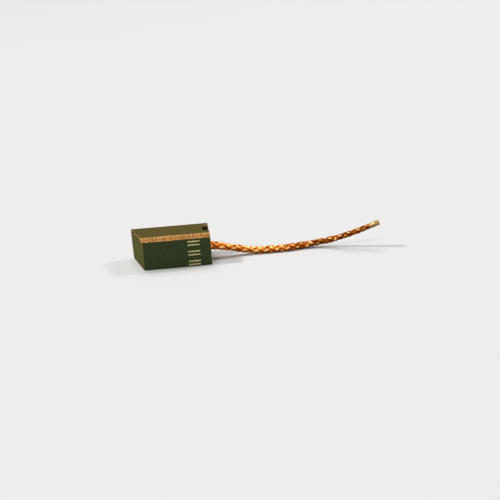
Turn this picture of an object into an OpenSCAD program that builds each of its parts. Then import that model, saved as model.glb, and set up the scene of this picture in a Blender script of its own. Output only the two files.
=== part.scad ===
// Copper-graphite brush for an electric machine: a pressed rectangular block with a bevelled
// running face, and a braided copper lead tamped into the opposite end.
// Millimetres. X runs along the block towards the lead, Y from front to back, Z up. The origin
// is at the middle of the face that the block lies on.

/* [Block] */
// Length of the block along its long back edge
block_l = 20; // [16:0.5:32]
// Width of the block from front to back
block_w = 10; // [8:0.5:16]
// Height of the block as it lies
block_h = 8; // [7.5:0.5:12]

/* [Running face] */
// Angle of the bevelled running face, seen from above
bevel_angle = 17; // [0:1:25]

/* [Chamfer] */
// Width of the chamfer across the top face
chamfer_w = 1.6; // [0.4:0.2:2.4]
// Depth of the chamfer down the front face
chamfer_h = 0.6; // [0.2:0.1:1.6]

/* [Spring notch] */
// Width of the notch, across the block
notch_w = 3.2; // [2:0.2:4]
// Depth of the notch, in from the end face
notch_l = 1.6; // [0.8:0.1:2.4]
// Height of the notch, down from the top face
notch_h = 2.4; // [1:0.1:2.4]

/* [Lead hole] */
// Diameter of the drilled hole that holds the lead
hole_d = 3.2; // [2.6:0.1:3.4]
// Depth of the hole to the shoulder of its drill point
hole_l = 7; // [6.2:0.1:9]

/* [Lead] */
// Diameter of the braided lead
lead_d = 1.9; // [1.4:0.1:1.9]
// Length of the tinned end
tinned_l = 2.4; // [2:0.2:8]
// Diameter of the tinned end, where the wires are drawn together
tinned_d = 1.6; // [1.2:0.1:1.6]

/* [Hidden] */

$fn = 64;
eps = 1; // overrun of a cutting shape past the face that it opens
end_x = block_l / 2; // the end face, where the lead comes out
bevel_l = block_w * tan(bevel_angle); // how much shorter the front edge is than the back edge
notch_y = 0.6; // the notch lies behind the block's centre line, midway between chamfer and back
hole_z = 3.4; // height of the lead hole, which is where the route below starts
drill_point = 118; // included angle of the drill
point_l = hole_d / 2 / tan(drill_point / 2);
lead_in = 6; // how far the lead reaches into its hole
plug_recess = 0.3; // the tamped powder ends this far inside the hole's mouth
plug_dish = 0.4; // and it is dished this much deeper round the lead

// Route of the lead from its inner end to its tinned end. A point is the distance out from
// the end face, the distance behind the centre line, and the height.
route = [
    [-6, 0, 3.4], [-4, 0, 3.4], [-2, 0, 3.4], [0, 0, 3.4], [1.5, 0, 3.2], [3, 0, 2.9],
    [5, 0, 2.5], [7, 0, 2], [9, 0, 1.5], [11, 0, 1.2], [13, -0.1, 1], [15, -0.2, 1],
    [17, -0.2, 1], [19, -0.2, 1], [21, -0.1, 1], [23, 0.2, 1], [25, 0.5, 1],
    [27, 0.7, 1.1], [29, 0.6, 1.4], [31, 0.2, 1.75], [33, -0.3, 2.25], [35, -1, 2.95],
    [37, -1.75, 3.8], [39, -2.5, 4.7], [42, -3.4, 6.1]
];
route_last = len(route) - 1;
taper_from = 20; // the lead starts to narrow this far out from the end face
lead_sides = 8;

function unit(v) = v / norm(v);
// Direction of the lead at point i of its route
function along(i) = unit(route[min(i + 1, route_last)] - route[max(i - 1, 0)]);
// Radius of the lead at distance x out from the end face
function lead_r(x) =
    let (t = max(0, (x - taper_from) / (route[route_last].x - taper_from)))
    (lead_d + (tinned_d - lead_d) * t) / 2;
// Corners of the lead's cross-section at point i of its route
function ring(i) =
    let (t = along(i), side = unit(cross(t, [0, 0, 1])), up = cross(side, t))
    [for (k = [0 : lead_sides - 1])
        let (a = 360 * k / lead_sides)
        [end_x, 0, 0] + route[i] + lead_r(route[i].x) * (cos(a) * side + sin(a) * up)];

// Outline of the block seen from above, with the running face on the left
module plan() {
    polygon([
        [bevel_l - end_x, -block_w / 2], [end_x, -block_w / 2],
        [end_x, block_w / 2], [-end_x, block_w / 2]
    ]);
}

// Wedge that cuts the chamfer along the front edge of the top face
module chamfer_cut() {
    slope = chamfer_h / chamfer_w;
    translate([-end_x - eps, -block_w / 2, block_h])
        rotate([90, 0, 90])
            linear_extrude(block_l + 2 * eps)
                polygon([
                    [-eps, -chamfer_h - eps * slope], [chamfer_w + eps, eps * slope],
                    [-eps, eps * slope]
                ]);
}

// Space that is set out from the end face along X, at the height of the lead hole
module at_hole() {
    translate([end_x, 0, hole_z]) rotate([0, 90, 0]) children();
}

// Drilled hole with its drill point
module hole(overrun) {
    at_hole() {
        translate([0, 0, -hole_l]) cylinder(h = hole_l + overrun, d = hole_d);
        translate([0, 0, -hole_l - point_l]) cylinder(h = point_l, d1 = 0, d2 = hole_d);
    }
}

// Pressed block with its running face, chamfer, spring notch and lead hole
module brush_block() {
    color([0.36, 0.3, 0.17])
        difference() {
            linear_extrude(block_h) plan();
            chamfer_cut();
            translate([end_x - notch_l, notch_y - notch_w / 2, block_h - notch_h])
                cube([notch_l + eps, notch_w, notch_h + eps]);
            hole(eps);
        }
}

// Copper powder rammed into the hole round the end of the lead
module tamping_plug() {
    color([0.6, 0.33, 0.18])
        at_hole()
            rotate_extrude()
                polygon([
                    [0, -hole_l - point_l], [hole_d / 2, -hole_l], [hole_d / 2, -plug_recess],
                    [lead_d / 2, -plug_recess - plug_dish], [lead_d / 2, -lead_in], [0, -lead_in]
                ]);
}

// Braided lead, as a plain tube along its route
module shunt_lead() {
    rings = route_last + 1;
    corners = [for (i = [0 : route_last]) each ring(i)];
    sides = [for (i = [0 : rings - 2], k = [0 : lead_sides - 1])
        let (a = i * lead_sides, next = (k + 1) % lead_sides)
        [a + k, a + next, a + lead_sides + next, a + lead_sides + k]];
    first_cap = [for (k = [lead_sides - 1 : -1 : 0]) k];
    last_cap = [for (k = [0 : lead_sides - 1]) route_last * lead_sides + k];
    color([0.8, 0.42, 0.2]) polyhedron(corners, concat(sides, [first_cap, last_cap]));
}

// End of the lead where the wires are soaked with solder
module tinned_end() {
    dir = along(route_last);
    color([0.72, 0.68, 0.55])
        translate([end_x, 0, 0] + route[route_last])
            rotate([0, acos(dir.z), atan2(dir.y, dir.x)])
                cylinder(h = tinned_l, d = tinned_d);
}

brush_block();
tamping_plug();
shunt_lead();
tinned_end();
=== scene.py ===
"""Copper-graphite motor brush with a braided copper lead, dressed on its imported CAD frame."""

import math

import bpy
import numpy as np
from mathutils import Matrix, Vector


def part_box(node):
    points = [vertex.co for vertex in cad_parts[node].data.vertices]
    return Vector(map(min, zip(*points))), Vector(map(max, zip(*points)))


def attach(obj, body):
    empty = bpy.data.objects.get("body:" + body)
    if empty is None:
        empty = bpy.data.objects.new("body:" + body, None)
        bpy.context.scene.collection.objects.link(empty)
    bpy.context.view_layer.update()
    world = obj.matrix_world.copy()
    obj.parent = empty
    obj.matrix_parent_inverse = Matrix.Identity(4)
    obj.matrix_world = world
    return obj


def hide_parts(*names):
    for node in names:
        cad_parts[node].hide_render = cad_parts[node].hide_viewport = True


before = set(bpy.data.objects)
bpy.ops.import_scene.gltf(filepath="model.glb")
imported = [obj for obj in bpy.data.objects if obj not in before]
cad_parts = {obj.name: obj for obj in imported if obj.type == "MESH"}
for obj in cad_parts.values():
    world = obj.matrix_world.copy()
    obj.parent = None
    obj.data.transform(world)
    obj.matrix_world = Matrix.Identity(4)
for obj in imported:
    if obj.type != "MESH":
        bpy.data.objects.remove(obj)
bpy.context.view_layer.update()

MM = 0.001
BLOCK_LOW, BLOCK_HIGH = (Vector(corner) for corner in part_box("brush_block"))
END_X = BLOCK_HIGH.x        # the end face, where the lead comes out

# ---------------------------------------------------------------- camera

VIEW_AZIMUTH = math.radians(-7.42)   # the camera stands a little to the left of the block's front
VIEW_ELEVATION = math.radians(20.23)
VIEW_ROLL = math.radians(2.65)
VIEW_DISTANCE = 151.4 * MM
VIEW_AIM = Vector((20.45, 0.0, 1.1)) * MM
LENS, SENSOR = 41.42, 36.0


def make_camera():
    data = bpy.data.cameras.new("camera")
    data.lens, data.sensor_width = LENS, SENSOR
    data.clip_start, data.clip_end = 5 * MM, 10.0
    camera = bpy.data.objects.new("camera", data)
    flat = math.cos(VIEW_ELEVATION)
    back = Vector((
        flat * math.sin(VIEW_AZIMUTH), -flat * math.cos(VIEW_AZIMUTH), math.sin(VIEW_ELEVATION)
    ))
    turn = back.to_track_quat("Z", "Y").to_matrix() @ Matrix.Rotation(-VIEW_ROLL, 3, "Z")
    camera.matrix_world = Matrix.Translation(VIEW_AIM + back * VIEW_DISTANCE) @ turn.to_4x4()
    bpy.context.scene.collection.objects.link(camera)
    bpy.context.scene.camera = camera


# ---------------------------------------------------------------- small helpers


def new_mesh(name, points, faces):
    mesh = bpy.data.meshes.new(name)
    mesh.from_pydata([tuple(p) for p in points], [], faces)
    mesh.update()
    mesh.polygons.foreach_set("use_smooth", [True] * len(mesh.polygons))
    piece = bpy.data.objects.new(name, mesh)
    bpy.context.scene.collection.objects.link(piece)
    return piece


class Nodes:
    """A short way to write a material's node tree."""

    def __init__(self, name):
        self.material = bpy.data.materials.new(name)
        self.material.use_nodes = True
        self.tree = self.material.node_tree
        self.shader = self.tree.nodes["Principled BSDF"]

    def add(self, kind, **values):
        node = self.tree.nodes.new(kind)
        for key, value in values.items():
            setattr(node, key, value)
        return node

    def put(self, socket, value):
        if isinstance(value, bpy.types.NodeSocket):
            self.tree.links.new(value, socket)
        elif socket.type == "RGBA" and len(value) == 3:
            socket.default_value = (*value, 1)
        else:
            socket.default_value = value

    def math(self, operation, a, b=0.0):
        node = self.add("ShaderNodeMath", operation=operation)
        self.put(node.inputs[0], a)
        self.put(node.inputs[1], b)
        return node.outputs[0]

    def ramp(self, value, low, high, start=0.0, end=1.0):
        """value smoothly mapped from low..high to start..end"""
        node = self.add("ShaderNodeMapRange", interpolation_type="SMOOTHSTEP")
        self.put(node.inputs["Value"], value)
        for socket, number in zip(("From Min", "From Max", "To Min", "To Max"), (low, high, start, end)):
            self.put(node.inputs[socket], number)
        return node.outputs["Result"]

    def mix(self, share, a, b, blend="MIX"):
        """colour a turned into colour b by a share of 0 to 1"""
        node = self.add("ShaderNodeMix", data_type="RGBA", blend_type=blend)
        first, second = (socket for socket in node.inputs if socket.type == "RGBA")
        self.put(node.inputs[0], share)
        self.put(first, a)
        self.put(second, b)
        return next(socket for socket in node.outputs if socket.type == "RGBA")

    def coordinates(self, kind):
        """the object's own coordinates in metres ("Object"), or its surface normal ("Normal")"""
        return self.add("ShaderNodeTexCoord").outputs[kind]

    def place(self, stretch=(1, 1, 1)):
        """the object's own coordinates in millimetres, stretched along its axes"""
        mapping = self.add("ShaderNodeMapping")
        self.put(mapping.inputs["Vector"], self.coordinates("Object"))
        self.put(mapping.inputs["Scale"], [s / MM for s in stretch])
        return mapping.outputs[0]

    def noise(self, vector, scale, detail, roughness=0.6):
        node = self.add("ShaderNodeTexNoise")
        self.put(node.inputs["Vector"], vector)
        self.put(node.inputs["Scale"], scale)
        self.put(node.inputs["Detail"], detail)
        self.put(node.inputs["Roughness"], roughness)
        return node.outputs["Fac"]

    def cells(self, vector, scale):
        """distance to the nearest of many scattered points"""
        node = self.add("ShaderNodeTexVoronoi")
        self.put(node.inputs["Vector"], vector)
        self.put(node.inputs["Scale"], scale)
        return node.outputs["Distance"]

    def vector(self, operation, a, b):
        """the number that a vector operation gives, such as a dot product or a distance"""
        node = self.add("ShaderNodeVectorMath", operation=operation)
        self.put(node.inputs[0], a)
        self.put(node.inputs[1], b)
        return node.outputs["Value"]

    def millimetres(self, axis):
        """the object's own coordinate along an axis"""
        return self.math("DIVIDE", self.vector("DOT_PRODUCT", self.coordinates("Object"), axis), MM)

    def bump(self, height, depth, normal=None):
        """relief whose height of 1 stands depth metres proud, over the relief given as normal"""
        node = self.add("ShaderNodeBump")
        self.put(node.inputs["Height"], height)
        self.put(node.inputs["Distance"], depth)
        self.put(node.inputs["Strength"], 1.0)
        if normal is not None:
            self.put(node.inputs["Normal"], normal)
        return node.outputs[0]

    def finish(self, **values):
        for key, value in values.items():
            self.put(self.shader.inputs[key.replace("_", " ")], value)
        return self.material


# ---------------------------------------------------------------- lead

# The lead's route, from its inner end to its tinned end, as in the CAD source: distance out
# from the end face, distance behind the centre line, and height, in millimetres.
ROUTE = [
    (-6, 0, 3.4), (-4, 0, 3.4), (-2, 0, 3.4), (0, 0, 3.4), (1.5, 0, 3.2), (3, 0, 2.9),
    (5, 0, 2.5), (7, 0, 2), (9, 0, 1.5), (11, 0, 1.2), (13, -0.1, 1), (15, -0.2, 1),
    (17, -0.2, 1), (19, -0.2, 1), (21, -0.1, 1), (23, 0.2, 1), (25, 0.5, 1),
    (27, 0.7, 1.1), (29, 0.6, 1.4), (31, 0.2, 1.75), (33, -0.3, 2.25), (35, -1, 2.95),
    (37, -1.75, 3.8), (39, -2.5, 4.7), (42, -3.4, 6.1),
]
ROUTE_POINTS = [(END_X + x * MM, y * MM, z * MM) for x, y, z in ROUTE]
LEAD_RADIUS, TIP_RADIUS = 0.95 * MM, 0.74 * MM
TAPER_FROM = 28 * MM        # along the lead, from its inner end
BURIED = 6 * MM             # the length of lead inside the block
CARRIERS = 4                # bundles of wires that wind each way
LAY_LENGTH = 12.8 * MM      # one full turn of a bundle beside the block
TIP_LAY_LENGTH = 9.8 * MM   # and at the tip, where the braid is drawn tight
BUNDLE_WIDTH, BUNDLE_HEIGHT = 0.92 * MM, 0.44 * MM
WIRES = 18                  # wires round the outside of a bundle
CORNERS = 3                 # corners of a bundle's section to each wire
GROOVE = 0.11               # depth of the grooves between wires, as a share of the bundle's size
WEAVE = 0.16 * MM           # how far a bundle swings out and in as it passes over and under
STEP = 0.3 * MM             # distance between a bundle's sections
LOWEST = 0.02 * MM          # the wires are pressed flat where the lead lies on the floor
TINNED_LENGTH = 2.4 * MM


def smooth_line(points, step, pieces=24):
    """points of a Catmull-Rom curve through the given ones, about step apart"""
    p = np.array(points, float)
    p = np.vstack([2 * p[0] - p[1], p, 2 * p[-1] - p[-2]])
    t = np.linspace(0, 1, pieces, endpoint=False)[:, None]
    fine = [
        0.5 * (2 * b + (c - a) * t + (2 * a - 5 * b + 4 * c - d) * t**2 + (3 * b - a - 3 * c + d) * t**3)
        for a, b, c, d in zip(p[:-3], p[1:-2], p[2:-1], p[3:])
    ]
    fine = np.vstack([*fine, p[-2:-1]])
    along = np.concatenate([[0], np.cumsum(np.linalg.norm(np.diff(fine, axis=0), axis=1))])
    at = np.linspace(0, along[-1], round(along[-1] / step) + 1)
    return at, np.stack([np.interp(at, along, fine[:, k]) for k in range(3)], axis=1)


def axes_along(line):
    """direction, sideways and upward unit vectors at each point of a line"""
    t = np.gradient(line, axis=0)
    t /= np.linalg.norm(t, axis=1)[:, None]
    side = np.cross(t, (0, 0, 1))
    side /= np.linalg.norm(side, axis=1)[:, None]
    return t, side, np.cross(side, t)


def tube_faces(rings, sides, start):
    """faces of a tube with closed ends, whose points are numbered ring by ring from start"""
    faces = []
    for i in range(rings - 1):
        a = start + i * sides
        faces += [
            (a + k, a + (k + 1) % sides, a + sides + (k + 1) % sides, a + sides + k)
            for k in range(sides)
        ]
    faces.append(tuple(start + k for k in reversed(range(sides))))
    faces.append(tuple(start + (rings - 1) * sides + k for k in range(sides)))
    return faces


def outer_radius(at):
    """the braid's outer radius along the lead: splayed as it leaves the block, drawn in at its tip"""
    out = (at - BURIED) / MM
    splay = 1 + 0.22 * np.exp(-((out - 0.3) / 1.2) ** 2) + 0.12 * np.exp(-((out - 2.5) / 2.5) ** 2)
    share = np.clip((at - TAPER_FROM) / (at[-1] - TAPER_FROM), 0, 1)
    held = np.clip((out + 1.2) / 1.0, 0, 1)     # gripped by the powder inside the block
    return (LEAD_RADIUS + (TIP_RADIUS - LEAD_RADIUS) * share) * (0.94 + (splay - 0.94) * held)


def tipped(across, rise, angle):
    """a bundle's two axes, turned by an angle at each point of its path"""
    c, s = np.cos(angle)[:, None], np.sin(angle)[:, None]
    return across * c + rise * s, rise * c - across * s


def bundle_tone(section, facing, pass_over, out, wander, rng):
    """how bright each point of a bundle is, with painted shade and painted highlight: a painted highlight
    where it passes over the others, facing out, and painted shade on its inner side, under the others, in
    the grooves between wires and underneath
    """
    wire_tone = np.repeat(rng.normal(0, 0.07, WIRES), CORNERS)
    # painted shade in the grooves between wires
    wire_tone = wire_tone - 0.15 * np.sin(WIRES * section / 2) ** 2
    shine = wander(0.08, (0.4, 1.3, 2.9))
    over = np.clip(pass_over, 0, 1)[:, None]
    tone = (
        # painted shade on the bundle's inner side and where it passes under; painted highlight on its
        # crown where it passes over
        0.40 + 0.18 * facing + (0.20 * pass_over + shine)[:, None] + wire_tone[None, :]
        + 0.44 * np.clip(facing, 0, 1) ** 6 * over
        - 0.36 * np.clip(-out[:, 2:], 0, 1)         # painted shade underneath
        + 0.05 * np.clip(out[:, 2:], 0, 1)          # painted light on top
    )
    return np.clip(tone, 0, 1)


def make_braid():
    """bundles of wires that wind both ways round the lead, over and under each other"""
    rng = np.random.default_rng(7)
    at, line = smooth_line(ROUTE_POINTS, STEP)
    _, side, up = axes_along(line)
    outer = outer_radius(at)
    scale = outer / LEAD_RADIUS
    lay_length = LAY_LENGTH + (TIP_LAY_LENGTH - LAY_LENGTH) * np.clip(at / at[-1], 0, 1)
    turn = np.cumsum(2 * np.pi * np.gradient(at) / lay_length)
    middle = outer - (WEAVE + BUNDLE_HEIGHT / 2) * scale
    section = 2 * np.pi * np.arange(CORNERS * WIRES) / (CORNERS * WIRES)
    points, faces, tones = [], [], []

    def wander(size, waves=(0.6, 1.7, 3.1)):
        """a smooth random swing along the lead, with so many waves in each 10 mm"""
        return size * sum(
            np.sin(2 * np.pi * at / MM * w / 10 + rng.uniform(0, 2 * np.pi)) / (i + 1)
            for i, w in enumerate(waves)
        )

    for way in (1, -1):
        for k in range(CARRIERS):
            angle = way * turn + 2 * np.pi * k / CARRIERS + wander(0.09)
            pass_over = way * (-1) ** k * np.cos(2 * (angle + way * turn))     # 1 over, -1 under
            radius = middle + WEAVE * scale * pass_over + wander(0.03 * MM)
            out = np.cos(angle)[:, None] * side + np.sin(angle)[:, None] * up
            path = line + radius[:, None] * out
            ahead = axes_along(path)[0]
            across = np.cross(ahead, out)
            across /= np.linalg.norm(across, axis=1)[:, None]
            across, rise = tipped(across, np.cross(across, ahead), wander(0.25, (0.5, 1.4)))
            half_width = BUNDLE_WIDTH / 2 * (1 + wander(0.08, (1.1, 2.3, 4.7))) * scale
            half_height = BUNDLE_HEIGHT / 2 * (1 + wander(0.08, (1.3, 2.9))) * scale
            slip = wander(0.5, (0.5, 1.1))       # the wires drift round the bundle
            turned = section[None, :] + slip[:, None]
            groove = 1 - GROOVE * np.sin(WIRES * section / 2)[None, :] ** 2
            uneven = 0.03 * np.sin(5 * section + k)[None, :] * np.sin(at / MM * 1.9)[:, None]
            groove = groove * (1 + uneven)
            ring = (
                (half_width[:, None] * np.cos(turned) * groove)[:, :, None] * across[:, None]
                + (half_height[:, None] * np.sin(turned) * groove)[:, :, None] * rise[:, None]
            )
            facing = np.sin(turned)             # 1 on the bundle's outer side, -1 on its inner side
            tone = bundle_tone(section, facing, pass_over, out, wander, rng)
            faces += tube_faces(len(path), len(section), len(points) * len(at) * len(section))
            points.append((path[:, None] + ring).reshape(-1, 3))
            tones.append(tone.reshape(-1))
    points = np.vstack(points)
    points[:, 2] = np.maximum(points[:, 2], LOWEST)
    braid = new_mesh("braided_lead", points, faces)
    braid.data.attributes.new("tone", "FLOAT", "POINT").data.foreach_set(
        "value", np.concatenate(tones).astype(np.float32)
    )
    braid.data.materials.append(copper_material())
    return braid, at, line


def tinned_radius(angle, share, lay, phase):
    """radius of the soldered wires at an angle, at a share of the way from the braid to the tip"""
    one_way = abs(math.sin(2 * (angle - lay) + phase[2]))
    other_way = abs(math.sin(2 * (angle + lay) + phase[3]))
    wires = math.sin(16 * (angle - 1.3 * lay) + phase[4])
    ridges = 0.5 * one_way + 0.5 * other_way
    return TIP_RADIUS * (0.90 + 0.11 * ridges + 0.012 * wires * (1 - share))


def make_tinned_end():
    """the drawn-in wires under a coat of solder that creeps unevenly up the braid"""
    rng = np.random.default_rng(3)
    sides, rings = 48, 26
    creep = 0.5 * MM
    start, before = Vector(ROUTE_POINTS[-1]), Vector(ROUTE_POINTS[-2])
    ahead = (start - before).normalized()
    side = ahead.cross(Vector((0, 0, 1))).normalized()
    up = side.cross(ahead)
    phase = rng.uniform(0, 2 * np.pi, 6)
    points = []
    for i in range(rings + 1):
        share = i / rings
        for k in range(sides):
            a = 2 * np.pi * k / sides
            tongue = 0.5 + 0.3 * math.sin(3 * a + phase[0]) + 0.2 * math.sin(5 * a + phase[1])
            along = -creep * (0.15 + tongue) * (1 - share) + TINNED_LENGTH * share
            r = tinned_radius(a, share, 2 * np.pi * along / TIP_LAY_LENGTH, phase)
            r *= 1 + 0.03 * math.sin(2 * np.pi * along / (1.3 * MM) + phase[5])
            r *= 1 - 0.16 * max(0, (share - 0.93) / 0.07) ** 2      # the snipped end is a little rounded
            r *= 1 - 0.12 * max(0, (0.1 - share) / 0.1)             # thin where it meets the braid
            points.append(start + ahead * along + (side * math.cos(a) + up * math.sin(a)) * r)
    end = new_mesh("tinned_tip", points, tube_faces(rings + 1, sides, 0))
    end.data.materials.append(solder_material())
    return end


# ---------------------------------------------------------------- materials of the lead

# painted shade for the braid's hollows and painted highlight for its crowns
COPPER_PAINTED_SHADE, COPPER_PAINTED_HIGHLIGHT = (0.17, 0.024, 0.001), (1.0, 0.74, 0.27)
COPPER, COPPER_AT_TIP = (0.50, 0.085, 0.004), (0.17, 0.026, 0.0015)
GOLDEN, GOLDEN_AT_TIP = (0.78, 0.265, 0.025), (0.36, 0.115, 0.01)
COPPER_GLINT, COPPER_NEAR_BLOCK = (1.0, 0.55, 0.14), (0.55, 0.12, 0.02)
POWDER_DARK, POWDER_LIGHT = (0.25, 0.10, 0.045), (0.5, 0.23, 0.1)
SOLDER_LIGHT, SOLDER_DARK = (0.60, 0.42, 0.145), (0.22, 0.155, 0.045)
# the second colour is painted shade for the solder's underside
BARE_COPPER, SOLDER_PAINTED_SHADE = (0.62, 0.24, 0.06), (0.09, 0.065, 0.02)


def copper_material():
    """painted highlight where a bundle comes out to the surface, painted shade in the hollows, and darker
    towards the tip
    """
    n = Nodes("braid_copper")
    place = n.place()
    tone = n.add("ShaderNodeAttribute", attribute_name="tone").outputs["Fac"]
    bright = n.math("ADD", tone, n.ramp(n.noise(place, 1.1, 4), 0.3, 0.7, -0.2, 0.2))
    along = n.millimetres((1, 0, 0))
    # darker towards the tip
    bright = n.math("ADD", bright, n.ramp(along, 24.0, 48.0, 0.02, -0.15))
    fine = n.noise(place, 7.0, 2)
    towards_tip = n.ramp(along, 26.0, 42.0)
    # painted shade in the hollows
    colour = n.mix(n.ramp(bright, 0.1, 0.52), COPPER_PAINTED_SHADE, n.mix(towards_tip, COPPER, COPPER_AT_TIP))
    colour = n.mix(n.ramp(bright, 0.47, 0.76), colour, n.mix(towards_tip, GOLDEN, GOLDEN_AT_TIP))
    # painted highlight on the crowns
    colour = n.mix(n.ramp(bright, 0.78, 1.05), colour, COPPER_PAINTED_HIGHLIGHT)
    colour = n.mix(n.ramp(fine, 0.55, 0.8, 0, 0.3), colour, COPPER_GLINT)
    colour = n.mix(n.ramp(along, 12.6, 10.2, 0.0, 0.55), colour, COPPER_NEAR_BLOCK)
    rough = n.ramp(fine, 0.3, 0.7, 0.21, 0.32)
    # the painted highlights are less metallic, so they stay pale
    metal = n.ramp(bright, 0.80, 1.05, 0.95, 0.6)
    return n.finish(Base_Color=colour, Metallic=metal, Roughness=rough, Specular_IOR_Level=0.3)


def powder_material():
    """copper powder rammed hard, with its grains still showing"""
    n = Nodes("rammed_copper_powder")
    place = n.place()
    grain = n.cells(place, 9.0)
    colour = n.mix(n.noise(place, 4.0, 4), POWDER_DARK, POWDER_LIGHT)
    return n.finish(Base_Color=colour, Metallic=0.5, Roughness=0.65, Normal=n.bump(grain, 0.05 * MM))


def solder_material():
    """dull solder, thin enough in places for the copper to show, with painted shade underneath"""
    n = Nodes("solder")
    place = n.place()
    cloudy = n.noise(place, 1.6, 4)
    colour = n.mix(n.ramp(cloudy, 0.38, 0.62), SOLDER_LIGHT, SOLDER_DARK)
    bare = n.ramp(n.noise(place, 1.9, 3), 0.52, 0.62)
    colour = n.mix(n.math("MULTIPLY", bare, 0.8), colour, BARE_COPPER)
    down = n.vector("DOT_PRODUCT", n.coordinates("Normal"), (0, 0, -1))
    # painted shade on the underside
    colour = n.mix(n.ramp(down, -0.3, 0.4, 0, 0.85), colour, SOLDER_PAINTED_SHADE)
    relief = n.bump(cloudy, 0.05 * MM)
    return n.finish(Base_Color=colour, Metallic=0.6, Roughness=0.36, Normal=relief)


# ---------------------------------------------------------------- material of the block

BEVEL = math.radians(17)        # of the running face, seen from above
CHAMFER_WIDTH, CHAMFER_DROP = 1.6 * MM, 0.6 * MM
CHAMFER_SLOPE = math.atan2(CHAMFER_DROP, CHAMFER_WIDTH)
FACES = {
    "top": (0, 0, 1), "bottom": (0, 0, -1), "front": (0, -1, 0), "back": (0, 1, 0),
    "end": (1, 0, 0), "running": (-math.cos(BEVEL), -math.sin(BEVEL), 0),
    "chamfer": (0, -math.sin(CHAMFER_SLOPE), math.cos(CHAMFER_SLOPE)),
}
NOTCH_FLOOR = 5.5                               # its height in millimetres
RUBBED_SPOT = (9.3 * MM, 2.9 * MM, 8 * MM)      # on the top face, just behind the notch
# printed marks on the front face, in millimetres
MARKS_X, MARKS_MIDDLE, MARKS_APART = 5.7, 3.56, 2.59
DASH_OFFSET, DASH_HALF_LENGTH = 0.45, 1.35

# the first three are each a pair: the face's colour, and that of its warmer patches
UPPER = (0.069, 0.062, 0.011), (0.102, 0.066, 0.012)
# the running face is greener than the top: a painted green tint of reflected light
RUNNING_PAINTED_REFLECTION = (0.068, 0.072, 0.009), (0.079, 0.070, 0.008)
# the front face is darker and greener: partly its pressed skin, partly painted shade and a painted green
# tint of reflected light
FRONT_PAINTED_SHADE = (0.038, 0.056, 0.019), (0.042, 0.054, 0.019)
COPPER_FLAKE = (0.34, 0.17, 0.05)
GROUND_DARK, GROUND_LIGHT, SCRATCH = (0.18, 0.072, 0.013), (0.40, 0.195, 0.045), (0.60, 0.40, 0.14)
# painted shade in the notch
NOTCH_PAINTED_SHADE = (0.024, 0.010, 0.001)
WORN_EDGE, RUBBED_COPPER = (0.54, 0.32, 0.11), (0.40, 0.24, 0.10)
GOLD_RIM, GOLD = (0.38, 0.33, 0.13), (0.80, 0.73, 0.37)


def face_offset(name):
    """how far from the origin the face's plane lies, along its normal"""
    normal = Vector(FACES[name])
    low, high = BLOCK_LOW, BLOCK_HIGH
    on_it = {
        "top": high, "back": high, "end": high, "bottom": low, "front": low,
        "running": Vector((low.x, high.y, 0)),
        "chamfer": Vector((0, low.y + CHAMFER_WIDTH, high.z)),
    }[name]
    return normal.dot(on_it)


def two_smallest_depths(n, position):
    """depths below the block's nearest two faces; the second is the distance to an edge"""
    nearest, second = None, 1.0
    for name, direction in FACES.items():
        depth = n.math("SUBTRACT", face_offset(name), n.vector("DOT_PRODUCT", position, direction))
        if nearest is None:
            nearest = depth
            continue
        second = n.math("MINIMUM", second, n.math("MAXIMUM", nearest, depth))
        nearest = n.math("MINIMUM", nearest, depth)
    return nearest, second


def pressed_graphite(n, place, grain, flakes, on_face):
    """the olive body: mottled, speckled, with sparks of copper; darker and greener on the front face,
    partly its pressed skin and partly painted shade and a painted green tint of reflected light, and
    greener on the running face as painted reflected light
    """
    warm = n.ramp(n.noise(place, 0.55, 5, 0.7), 0.40, 0.64)
    colour = n.mix(on_face["running"], n.mix(warm, *UPPER), n.mix(warm, *RUNNING_PAINTED_REFLECTION))
    # painted shade and painted reflected light on the front face
    colour = n.mix(on_face["front"], colour, n.mix(warm, *FRONT_PAINTED_SHADE))
    speckle = n.ramp(grain, 0.32, 0.70, 0.62, 1.42)
    colour = n.mix(1.0, colour, speckle, "MULTIPLY")
    spark = n.math("MULTIPLY", n.ramp(flakes, 0.2, 0.06), n.ramp(n.noise(place, 1.5, 2), 0.5, 0.7))
    return n.mix(n.math("MULTIPLY", spark, 0.6), colour, COPPER_FLAKE)


def ground_copper(n):
    """bright copper with scratches straight across the chamfer"""
    scratches = n.noise(n.place((2.6, 0.3, 0.3)), 1.5, 4, 0.8)
    ground = n.mix(n.ramp(scratches, 0.40, 0.60), GROUND_DARK, GROUND_LIGHT)
    return n.mix(n.ramp(scratches, 0.58, 0.70), ground, SCRATCH)


def worn_share(n, place, edge, height):
    """how far an edge is worn down to bare copper, most of all round the top face"""
    ragged = n.math("ADD", edge, n.ramp(n.noise(place, 2.2, 4), 0.3, 0.7, 0.16, -0.1))
    return n.math("MULTIPLY", n.ramp(ragged, 0.18, 0.0), n.ramp(height, 3.0, 7.6, 0.14, 0.9))


def rubbed_share(n, position, grain):
    """how bare the small rubbed spot behind the notch is"""
    distance = n.vector("DISTANCE", position, RUBBED_SPOT)
    rubbed = n.math("MULTIPLY", n.ramp(distance, 1.1 * MM, 0.3 * MM), n.ramp(grain, 0.4, 0.6))
    return n.math("MULTIPLY", rubbed, 0.75)


def distance_from_marks(n, place, height):
    """millimetres from the nearest of three plain pairs of dashes, with ragged outlines"""
    row = n.math("ABSOLUTE", n.math("SUBTRACT", height, MARKS_MIDDLE))
    row = n.math("MINIMUM", row, n.math("ABSOLUTE", n.math("SUBTRACT", row, MARKS_APART)))
    row = n.math("ABSOLUTE", n.math("SUBTRACT", row, DASH_OFFSET))
    past_end = n.math("ABSOLUTE", n.math("SUBTRACT", n.millimetres((1, 0, 0)), MARKS_X))
    past_end = n.math("MAXIMUM", n.math("SUBTRACT", past_end, DASH_HALF_LENGTH), 0.0)
    squares = n.math("ADD", n.math("POWER", row, 2.0), n.math("POWER", past_end, 2.0))
    ragged = n.ramp(n.noise(place, 3.0, 3), 0.3, 0.7, -0.06, 0.1)
    return n.math("ADD", n.math("SQRT", squares), ragged)


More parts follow.
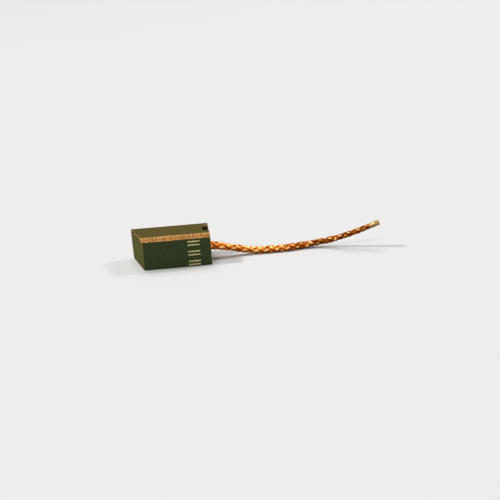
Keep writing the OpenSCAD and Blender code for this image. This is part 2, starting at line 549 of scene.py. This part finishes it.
def graphite_material():
    """the block's one material: pressed body, ground chamfer, notch, worn edges and printed marks"""
    n = Nodes("copper_graphite")
    place, position = n.place(), n.coordinates("Object")
    height = n.millimetres((0, 0, 1))
    on_face = {
        name: n.ramp(n.vector("DOT_PRODUCT", n.coordinates("Normal"), FACES[name]), 0.93, 0.985)
        for name in ("running", "front", "chamfer")
    }
    nearest, second = two_smallest_depths(n, position)
    grain = n.noise(place, 3.2, 4, 0.75)
    flakes = n.cells(place, 5.0)
    colour = pressed_graphite(n, place, grain, flakes, on_face)
    colour = n.mix(on_face["chamfer"], colour, ground_copper(n))
    # the notch's walls are painted nearly black-brown, as painted shade
    inside = n.ramp(nearest, 0.12 * MM, 0.3 * MM)
    in_notch = n.math("MULTIPLY", inside, n.ramp(height, NOTCH_FLOOR - 0.1, NOTCH_FLOOR + 0.1))
    colour = n.mix(in_notch, colour, NOTCH_PAINTED_SHADE)
    colour = n.mix(worn_share(n, place, n.math("DIVIDE", second, MM), height), colour, WORN_EDGE)
    colour = n.mix(rubbed_share(n, position, grain), colour, RUBBED_COPPER)
    # the printed marks are rubbed thin in places
    from_dash = distance_from_marks(n, place, height)
    printed = n.math("MULTIPLY", n.ramp(from_dash, 0.28, 0.15), on_face["front"])
    printed = n.math("MULTIPLY", printed, n.ramp(grain, 0.34, 0.5, 0.55, 1.0))
    colour = n.mix(printed, colour, n.mix(n.ramp(from_dash, 0.2, 0.0), GOLD_RIM, GOLD))
    relief = n.bump(flakes, -0.02 * MM, n.bump(grain, 0.03 * MM))
    rough = n.math("SUBTRACT", 0.75, n.math("MULTIPLY", on_face["chamfer"], 0.2))
    metal = n.math("MULTIPLY", on_face["chamfer"], 0.45)
    return n.finish(
        Base_Color=colour, Metallic=metal, Roughness=rough, Normal=relief, Specular_IOR_Level=0.08
    )


# ---------------------------------------------------------------- pieces

EDGE_ROUNDING = 0.09 * MM


def dress(node, material):
    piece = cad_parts[node]
    piece.data.materials.clear()
    piece.data.materials.append(material)
    return piece


def make_block():
    """the CAD block, with its flat faces merged and its edges a little rounded"""
    block = dress("brush_block", graphite_material())
    clean = block.modifiers.new("flat_faces", "DECIMATE")
    clean.decimate_type, clean.angle_limit = "DISSOLVE", math.radians(2)
    soften = block.modifiers.new("soft_edges", "BEVEL")
    soften.width, soften.segments = EDGE_ROUNDING, 2
    soften.limit_method, soften.angle_limit = "ANGLE", math.radians(15)
    soften.harden_normals = True


def make_lead():
    """the braid and its tinned end, in place of the plain solids of the CAD source"""
    braid, at, line = make_braid()
    tinned = make_tinned_end()
    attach(braid, "root")
    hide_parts("shunt_lead")
    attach(tinned, "root")
    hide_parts("tinned_end")


# ---------------------------------------------------------------- studio

FLOOR_COLOUR = (0.80, 0.80, 0.79)
FLOOR_FLAT, FLOOR_REACH = 0.6, 4.0      # radii in metres: level up to the first, then rising
FLOOR_RISE = 0.05                       # its height is this times the square of the way past the level
SURROUND_COLOUR = (1, 1, 0.99, 1)
SURROUND_SEEN, SURROUND_LIGHT = 0.84, 0.2


def floor_radius(ring, rings, flat_rings=4):
    """radius of a ring of the floor's points, with the first few on the level part"""
    if ring <= flat_rings:
        return FLOOR_FLAT * ring / flat_rings
    return FLOOR_FLAT + (FLOOR_REACH - FLOOR_FLAT) * (ring - flat_rings) / (rings - flat_rings)


def make_floor(rings=24, sides=72):
    """a pale floor that rises gently all round, far behind the object"""
    points = [(0, 0, 0)]
    for i in range(1, rings + 1):
        r = floor_radius(i, rings)
        z = FLOOR_RISE * max(0, r - FLOOR_FLAT) ** 2
        points += [
            (r * math.cos(a), r * math.sin(a), z)
            for a in (2 * math.pi * k / sides for k in range(sides))
        ]
    faces = [(0, 1 + k, 1 + (k + 1) % sides) for k in range(sides)]
    for i in range(rings - 1):
        a = 1 + i * sides
        faces += [
            (a + k, a + sides + k, a + sides + (k + 1) % sides, a + (k + 1) % sides)
            for k in range(sides)
        ]
    floor = new_mesh("studio_floor", points, faces)
    n = Nodes("pale_floor")
    floor.data.materials.append(
        n.finish(Base_Color=FLOOR_COLOUR, Roughness=0.9, Specular_IOR_Level=0.1)
    )


def make_surround():
    """a world that looks pale to the camera and in reflections, and lights the object at a lower level"""
    world = bpy.data.worlds.new("studio")
    bpy.context.scene.world = world
    world.use_nodes = True
    tree = world.node_tree
    background = tree.nodes["Background"]
    background.inputs["Color"].default_value = SURROUND_COLOUR
    rays = tree.nodes.new("ShaderNodeLightPath").outputs
    seen = rays["Is Camera Ray"]
    for kind in ("Is Glossy Ray", "Is Transmission Ray"):
        either = tree.nodes.new("ShaderNodeMath")
        either.operation = "MAXIMUM"
        tree.links.new(seen, either.inputs[0])
        tree.links.new(rays[kind], either.inputs[1])
        seen = either.outputs[0]
    level = tree.nodes.new("ShaderNodeMapRange")
    tree.links.new(seen, level.inputs["Value"])
    level.inputs["To Min"].default_value = SURROUND_LIGHT
    level.inputs["To Max"].default_value = SURROUND_SEEN
    tree.links.new(level.outputs["Result"], background.inputs["Strength"])


def make_sun(name, azimuth, elevation, spread, strength):
    """a soft distant lamp; azimuth turns from +Y towards +X, and the angles are in degrees"""
    data = bpy.data.lights.new(name, "SUN")
    data.energy, data.angle = strength, math.radians(spread)
    lamp = bpy.data.objects.new(name, data)
    a, e = math.radians(azimuth), math.radians(elevation)
    to_lamp = Vector((math.sin(a) * math.cos(e), math.cos(a) * math.cos(e), math.sin(e)))
    lamp.rotation_euler = to_lamp.to_track_quat("Z", "Y").to_euler()
    bpy.context.scene.collection.objects.link(lamp)


def make_studio():
    make_floor()
    make_surround()
    make_sun("lamp_left", azimuth=-86, elevation=45, spread=7, strength=1.5)
    make_sun("lamp_right", azimuth=74, elevation=45, spread=7, strength=0.55)
    make_sun("lamp_above", azimuth=-10, elevation=67, spread=32, strength=1.0)
    make_sun("lamp_front", azimuth=-150, elevation=42, spread=12, strength=0.45)


# ---------------------------------------------------------------- the scene

make_camera()
make_lead()
make_block()
dress("tamping_plug", powder_material())
make_studio()
bpy.context.scene.view_settings.view_transform = "Standard"
